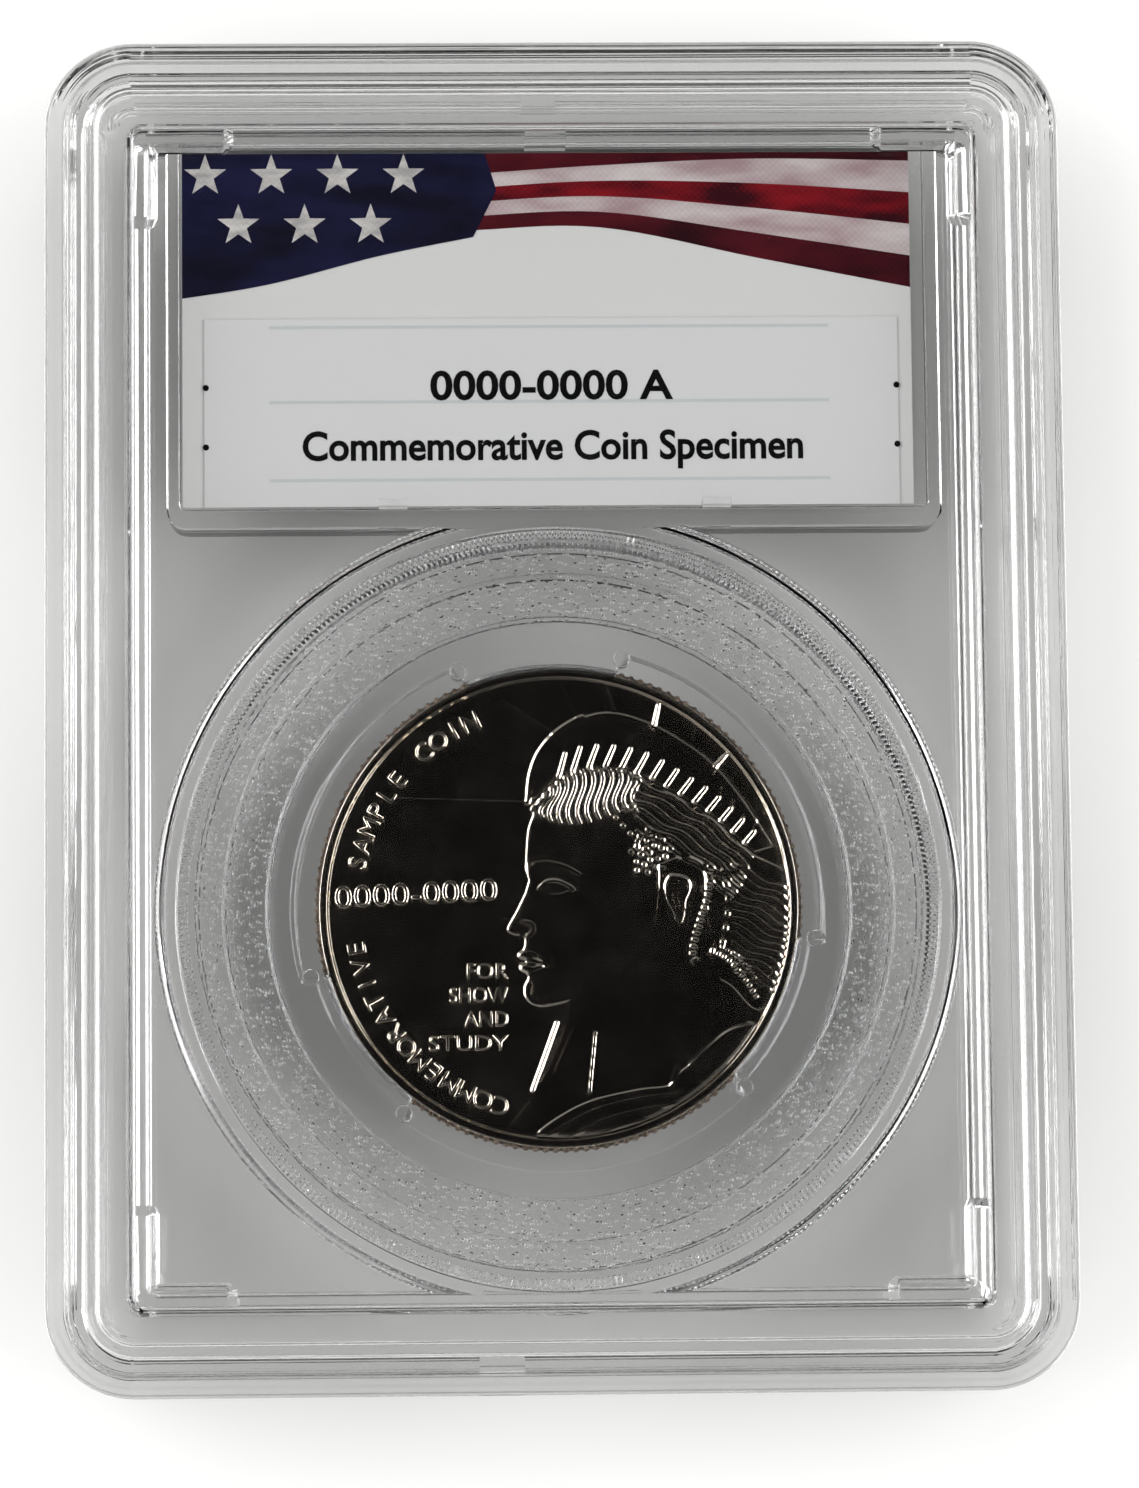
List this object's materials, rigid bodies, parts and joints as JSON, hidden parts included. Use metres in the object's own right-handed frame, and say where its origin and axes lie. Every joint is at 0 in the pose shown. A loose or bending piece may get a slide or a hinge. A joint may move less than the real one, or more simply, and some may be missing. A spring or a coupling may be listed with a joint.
{
  "type": "graded coin slab",
  "caption": "Flat clear case of two shells that holds one coin in a pronged ring below a printed label card.",
  "frame": {"origin": "centre of the case's back face, on the surface that the case lies on", "axes": "+Z out of the front window, +Y towards the label end, +X to the right as the label is read"},
  "size_m": [0.064, 0.085, 0.008],
  "materials": {
    "clear_case": "clear moulded polystyrene, polished windows",
    "clear_ring": "clear moulded plastic with a fine spark-eroded texture",
    "coin_nickel": "mirror-bright struck cupronickel",
    "coin_copper": "bare copper, reeded",
    "printed_card": "printed card, satin",
    "sticker_paper": "matt white paper label, printed in black"
  },
  "bodies": {
    "back_half": {"back_shell": "clear_case"},
    "front_half": {"front_shell": "clear_case"},
    "ring": {"insert_ring": "clear_ring"},
    "coin": {"coin_core": "coin_copper", "coin_front_clad": "coin_nickel", "coin_back_clad": "coin_nickel"},
    "label": {"label_card": "printed_card", "title_sticker": "sticker_paper"}
  },
  "joints": [
    {"name": "front_shell_lift", "type": "slide", "parent": "back_half", "child": "front_half", "axis": [0, 0, 1], "range_m": [0, 0.02]},
    {"name": "ring_lift", "type": "slide", "parent": "back_half", "child": "ring", "axis": [0, 0, 1], "range_m": [0, 0.01]},
    {"name": "coin_lift", "type": "slide", "parent": "back_half", "child": "coin", "axis": [0, 0, 1], "range_m": [0, 0.005]},
    {"name": "label_lift", "type": "slide", "parent": "back_half", "child": "label", "axis": [0, 0, 1], "range_m": [0, 0.006]}
  ],
  "couplings": [
    {"joint": "ring_lift", "follows": "front_shell_lift", "ratio": 0.5},
    {"joint": "coin_lift", "follows": "front_shell_lift", "ratio": 0.25},
    {"joint": "label_lift", "follows": "front_shell_lift", "ratio": 0.3}
  ]
}
